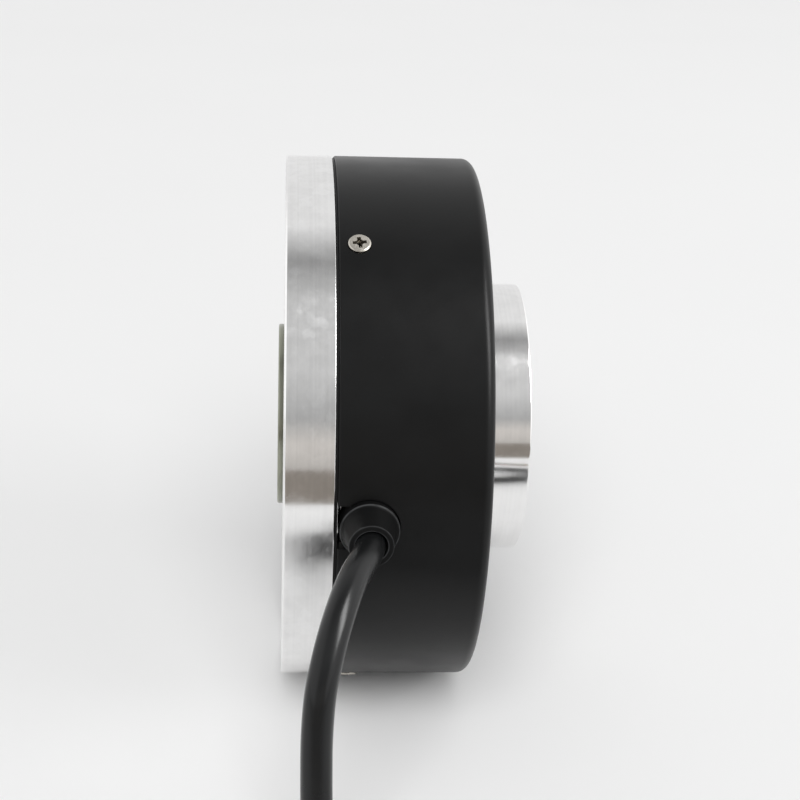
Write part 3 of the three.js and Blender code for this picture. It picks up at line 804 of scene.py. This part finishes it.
def flange():
    """Turned flange: the rim, the spigot that the cover sits on and the tube that holds the bearings."""
    body = turned("flange_body", [
        (0, LIP_R, 0.2), (LIP_X, LIP_R), (LIP_X, BEARING_SEAT_R), (CIRCLIP_START, BEARING_SEAT_R),
        (CIRCLIP_START, CIRCLIP_GROOVE_R), (CIRCLIP_END, CIRCLIP_GROOVE_R), (CIRCLIP_END, BEARING_SEAT_R),
        (TUBE_END, BEARING_SEAT_R, 0.2), (TUBE_END, TUBE_R, 0.3), (FLOOR_X, TUBE_R, 0.6),
        (FLOOR_X, SPIGOT_INNER_R, 0.6), (SPIGOT_END, SPIGOT_INNER_R, 0.3), (SPIGOT_END, SPIGOT_R, 0.3),
        (COVER_START + 0.5, SPIGOT_R), (COVER_START + 0.2, LAND_R, 0.08), (COVER_START, LAND_R),
        (COVER_START, SPIGOT_R), (FLANGE_END, SPIGOT_R), (FLANGE_END, HOUSING_R - 0.16, 0.05),
        (FLANGE_END - 0.16, HOUSING_R, 0.05), (0.33, HOUSING_R, 0.04), (0, HOUSING_R - 0.33, 0.04),
    ], SHAFT_FRAME, LOOKS["flange_aluminium"], sides=256, step=3)
    tools = []
    for angle in FLANGE_HOLE_ANGLES:
        tools.append(turned("tapping", [(-1, 0), (-1, 3.2), (0.55, 1.65), (5.2, 1.65), (6, 0)],
                            along_shaft(angle, FLANGE_HOLE_R), None, sides=40))
    for angle in COVER_SCREW_ANGLES:
        tools.append(prism("screw_hole", polygon(1.25, 32), 42, 48, facing_out(COVER_SCREW_X, angle)))
    notch = facing_out(EXIT, 0)
    tools.append(prism("boot_notch", polygon(5.25, 64), 41, 48, notch))
    tools.append(prism("boot_way", [(0, -5.24), (3, -5.24), (3, 5.24), (0, 5.24)], 41, 48, notch))
    return stand_for(cut(body, tools), "mounting_flange")


def cover():
    """Black shell with a rounded far edge, a keyhole for the boot and three countersunk screw holes."""
    shell = turned("cover_shell", [
        (COVER_START, COVER_INNER_R), (COVER_END - COVER_WALL, COVER_INNER_R, 1.0),
        (COVER_END - COVER_WALL, COVER_BORE_R, 0.15), (COVER_END, COVER_BORE_R, 0.25),
        *fillet(COVER_END, HOUSING_R, COVER_FILLET),
        (COVER_START + 0.22, HOUSING_R, 0.12), (COVER_START, HOUSING_R - 0.22),
    ], SHAFT_FRAME, LOOKS["cover_black"], sides=256, step=1.5)
    tools = []
    for angle in COVER_SCREW_ANGLES:
        tools.append(turned("countersink", [
            (46, 0), (46, 1.3), (48.9, 1.3), (50.05, 2.14), (52, 2.14), (52, 0),
        ], facing_out(COVER_SCREW_X, angle), None, sides=64))
    keyhole = facing_out(EXIT, 0)
    tools.append(turned("boot_hole", [
        (45, 0), (45, 5.15), (49.8, 5.15, 0.2), (50.4, 5.5), (52, 5.5), (52, 0),
    ], keyhole, None, sides=96))
    tools.append(prism("mouth", [(-8, -4), (0, -4), (0, 4), (-8, 4)], 45, 52, keyhole))
    return stand_for(cut(shell, tools), "cover")


def fillet(x, radius, size, steps=12):
    """Corner points of a rounded outer edge, from the end face to the rim."""
    turns = [math.pi / 2 * k / steps for k in range(steps + 1)]
    curve = [(x - size + size * math.cos(t), radius - size + size * math.sin(t)) for t in turns]
    return [(x, radius - size - 0.2), *curve, (x - size - 0.2, radius)]


def cover_screw(number, angle, twist):
    """Countersunk screw with a flat, slightly proud head and a cross recess."""
    top = HOUSING_R + 0.45
    place = facing_out(COVER_SCREW_X, angle, twist)
    screw = turned(f"countersunk_screw_{number}", [
        (top - 6.2, 0), (top - 6.2, 0.8), (top - 5.8, 1.0), (top - 1.6, 1.0), (top - 0.5, 1.96, 0.05),
        (top - 0.24, 2.0, 0.08), (top - 0.04, 1.74, 0.1), (top, 0),
    ], place, LOOKS["screw_nickel"], sides=64)
    recess = [turned("recess_middle", [(top - 2.6, 0), (top - 2.2, 0.45), (top + 0.05, 0.7),
                                       (top + 0.5, 0.7), (top + 0.5, 0)], place, None, sides=30)]
    for turn in (0.01, math.pi / 2 + 0.02):
        blade = place @ Matrix.Rotation(turn, 4, "Z")
        recess.append(prism("recess_arm", oblong(1.25, 0.34), top - 2.2, top + 0.4, blade, shrink=0.8))
    screw = bevelled(cut(screw, recess), 0.04, angle=40)
    return stand_for(screw, f"cover_screw_{number}")


def boot():
    """Rubber grommet: a round shoulder in the cover's hole and a short taper round the lead."""
    return stand_for(turned("boot", [
        (41, BOOT_BORE_R), (BOOT_TIP, BOOT_BORE_R, 0.15), (BOOT_TIP, BOOT_TIP_R, 0.12),
        (BOOT_TIP - 0.3, BOOT_TIP_R, 0.1), (BOOT_SHOULDER + 0.15, 4.75, 0.4), (BOOT_SHOULDER, BOOT_R, 0.12),
        (43.4, BOOT_R), (43.4, 6.1, 0.3), (41, 6.1, 0.3),
    ], facing_out(EXIT, 0), LOOKS["boot_rubber"], sides=96), "cable_boot")


flange()
cover()
stand_for(turned("gasket_ring", [
    (FLANGE_END + 0.05, GASKET_INNER_R), (COVER_START - 0.05, GASKET_INNER_R),
    (COVER_START - 0.05, GASKET_R, 0.05), (FLANGE_END + 0.05, GASKET_R, 0.05),
], SHAFT_FRAME, LOOKS["black_rubber"], sides=192), "cover_gasket")
for number, (angle, twist) in enumerate(zip(COVER_SCREW_ANGLES, (0.12, 0.9, 0.5)), 1):
    cover_screw(number, angle, twist)
boot()
stand_for(turned("shaft_lip_seal", [
    (0.3, 17.75, 0.1), (0.9, 17.8), (1.2, 18.6, 0.2), (1.7, 18.6), (1.7, 19.9), (0.3, 19.9, 0.15),
    (0.3, 19.0, 0.2), (0.75, 18.7, 0.1), (0.3, 18.3, 0.1),
], SHAFT_FRAME, LOOKS["black_rubber"]), "left_dust_seal")


# ---------- rotor ----------

def shaft():
    tube = turned("shaft_tube", [
        (SHAFT_START, BORE_R + 0.5), (SHAFT_START + 0.5, BORE_R), (SHAFT_END - 0.5, BORE_R),
        (SHAFT_END, BORE_R + 0.5), (SHAFT_END, SHAFT_R, 0.2), (COLLAR_END, SHAFT_R),
        (COLLAR_END, COLLAR_R, 0.2), (COLLAR_START, COLLAR_R, 0.2), (COLLAR_START, SHAFT_R),
        (SHAFT_START, SHAFT_R, 0.4),
    ], SHAFT_FRAME, LOOKS["shaft_steel"], step=6)
    tools = [
        prism("grip_hole", polygon(2.2, 40), 12, 20, facing_out(SET_SCREW_X, a))
        for a in SET_SCREW_ANGLES
    ]
    return stand_for(cut(tube, tools), "hollow_shaft")


def hub():
    ring = turned("hub_ring", [
        (HUB_START, HUB_BORE_R, 0.2), (HUB_END, HUB_BORE_R, 0.25), (HUB_END, HUB_R, 0.3),
        (HUB_START, HUB_R, 0.3),
    ], SHAFT_FRAME, LOOKS["hub_aluminium"], sides=256, step=3)
    tools = [
        turned("tapped_hole", [(15, 0), (15, 2.1), (25.5, 2.1), (26.2, 2.9), (28, 2.9), (28, 0)],
               facing_out(SET_SCREW_X, a), None, sides=48)
        for a in SET_SCREW_ANGLES
    ]
    return stand_for(cut(ring, tools), "clamp_ring")


def set_screw(number, angle):
    place = facing_out(SET_SCREW_X, angle, 0.3 * number)
    screw = turned(f"grub_screw_{number}", [
        (15.5, 0), (15.5, 1.3), (16.3, 1.98, 0.1), (24.5, 1.98, 0.1), (24.8, 1.7, 0.05), (24.8, 0),
    ], place, LOOKS["black_oxide"], sides=48)
    socket = prism("socket", polygon(1.15, 6), 22.6, 26, place)
    return stand_for(cut(screw, [socket]), f"set_screw_{number}")


shaft()
hub()
for number, angle in enumerate(SET_SCREW_ANGLES, 1):
    set_screw(number, angle)


# ---------- light, floor and surroundings ----------

# Plain tones round the studio, by the angle up from the front in degrees: the camera's side, a pale
# wall, the darker gap over the table and the pale backdrop.
ROOM = [
    (0, grey(0.5, 0.05)), (10, grey(0.6, 0.05)), (20, grey(0.4)), (40, grey(0.6)), (70, grey(0.55)),
    (90, grey(0.3)), (110, grey(0.8)), (180, grey(0.8)),
]
DOME_LIGHT = 0.52
DOME_FRONT = 1.3
DOME_BACK = 0.7
RIGHT_LIGHT = 1.25
LEFT_LIGHT = 1.1


def world():
    """A pale studio: a dome, brighter in front, for matt surfaces, and plain soft bands for shiny ones."""
    made = bpy.data.worlds.new("studio")
    made.use_nodes = True
    made.cycles.sampling_method = "NONE"
    bpy.context.scene.world = made
    nodes = Nodes(made.node_tree)
    nodes.tree.nodes.clear()
    split = nodes.add("SeparateXYZ")
    nodes.link(nodes.add("TexCoord").outputs["Generated"], split.inputs[0])
    ahead = nodes.math("MULTIPLY", split.outputs[1], -1.0)
    angle = nodes.math("ABSOLUTE", nodes.math("ARCTAN2", split.outputs[2], ahead))
    stops = [(turn / 180, color) for turn, color in ROOM]
    lit = nodes.ramp(nodes.math("DIVIDE", angle, math.pi), stops)
    lit = nodes.mix(nodes.spread(split.outputs[0], 0.3, 0.6), lit, (*grey(RIGHT_LIGHT), 1))
    lit = nodes.mix(nodes.spread(split.outputs[0], -0.8, -0.4, 1.0, 0.0), lit, (*grey(LEFT_LIGHT), 1))
    dome = nodes.mix(nodes.spread(split.outputs[1], -1.0, 1.0), (*grey(DOME_LIGHT * DOME_FRONT), 1),
                     (*grey(DOME_LIGHT * DOME_BACK), 1))
    path = nodes.add("LightPath")
    lit = nodes.mix(path.outputs["Is Diffuse Ray"], lit, dome)
    lit = nodes.mix(path.outputs["Is Camera Ray"], lit, (*grey(0.87), 1))
    background = nodes.add("Background")
    nodes.link(lit, background.inputs["Color"])
    output = nodes.add("OutputWorld")
    nodes.link(background.outputs[0], output.inputs[0])


FLOOR_HALF = 4.0


def flat_sheet(name, corners, height, look):
    bm = bmesh.new()
    bm.faces.new([bm.verts.new((x, y, height)) for x, y in corners])
    return from_bmesh(name, bm, look)


def floor():
    look, nodes, shader = material("pale_floor", grey(0.88), 0.9, specular=0.1)
    cloud = nodes.noise(nodes.position(), 6, detail=2)
    nodes.link(nodes.mix(cloud, (*grey(0.87), 1), (*grey(0.89), 1)), shader.inputs["Base Color"])
    flat_sheet("floor", oblong(FLOOR_HALF, FLOOR_HALF), 0, look)


BENCH_CORNERS = [(-2, -0.24), (-2, -3.5), (1.2, -3.5), (0.3, -0.24)]
BENCH_TONE = grey(0.22, 0.12)


def bench():
    """The darker bench past the pale sheet's front edge. Only reflections show it."""
    look = bpy.data.materials.new("bench")
    look.use_nodes = True
    nodes = Nodes(look.node_tree)
    nodes.tree.nodes.clear()
    glow = nodes.add("Emission")
    glow.inputs["Color"].default_value = (*BENCH_TONE, 1)
    output = nodes.add("OutputMaterial")
    nodes.link(glow.outputs[0], output.inputs[0])
    sheet = flat_sheet("bench", BENCH_CORNERS, 0.5 * MM, look)
    sheet.visible_camera = False
    sheet.visible_diffuse = False
    sheet.visible_shadow = False
    sheet.visible_transmission = False


WINDOW_PLACE = (1.25, -0.5, 0.75)
WINDOW_SIZE = (0.9, 0.6)
WINDOW_WATTS = 4.5
GLINT_PLACE = (0.73, -0.47, 0.92)
GLINT_SIZE = (0.4, 0.9)
GLINT_WATTS = 12
OVERHEAD_STRENGTH = 1.8
OVERHEAD_SPREAD = math.radians(40)
OVERHEAD_WAY = (0.05, 0.7, -0.72)


def area_light(name, place, target, size, watts):
    data = bpy.data.lights.new(name, "AREA")
    data.shape = "RECTANGLE"
    data.size, data.size_y = size
    data.energy = watts
    made = bpy.data.objects.new(name, data)
    bpy.context.scene.collection.objects.link(made)
    made.location = place
    made.rotation_euler = (Vector(target) - Vector(place)).to_track_quat("-Z", "Y").to_euler()
    return made


def overhead():
    """Wide soft light from over the camera. Shiny surfaces mirror the bands above instead of it."""
    data = bpy.data.lights.new("overhead", "SUN")
    data.energy = OVERHEAD_STRENGTH
    data.angle = OVERHEAD_SPREAD
    made = bpy.data.objects.new("overhead", data)
    bpy.context.scene.collection.objects.link(made)
    made.rotation_euler = Vector(OVERHEAD_WAY).to_track_quat("-Z", "Y").to_euler()
    made.visible_glossy = False


world()
floor()
bench()
window = area_light("window", WINDOW_PLACE, (0, 0, 0.03), WINDOW_SIZE, WINDOW_WATTS)
window.visible_glossy = False
# The window's glint on rounded edges, without more light on the floor.
glint = area_light("window_glint", GLINT_PLACE, AXIS, GLINT_SIZE, GLINT_WATTS)
glint.visible_diffuse = False
overhead()
bpy.context.scene.view_settings.view_transform = "Standard"
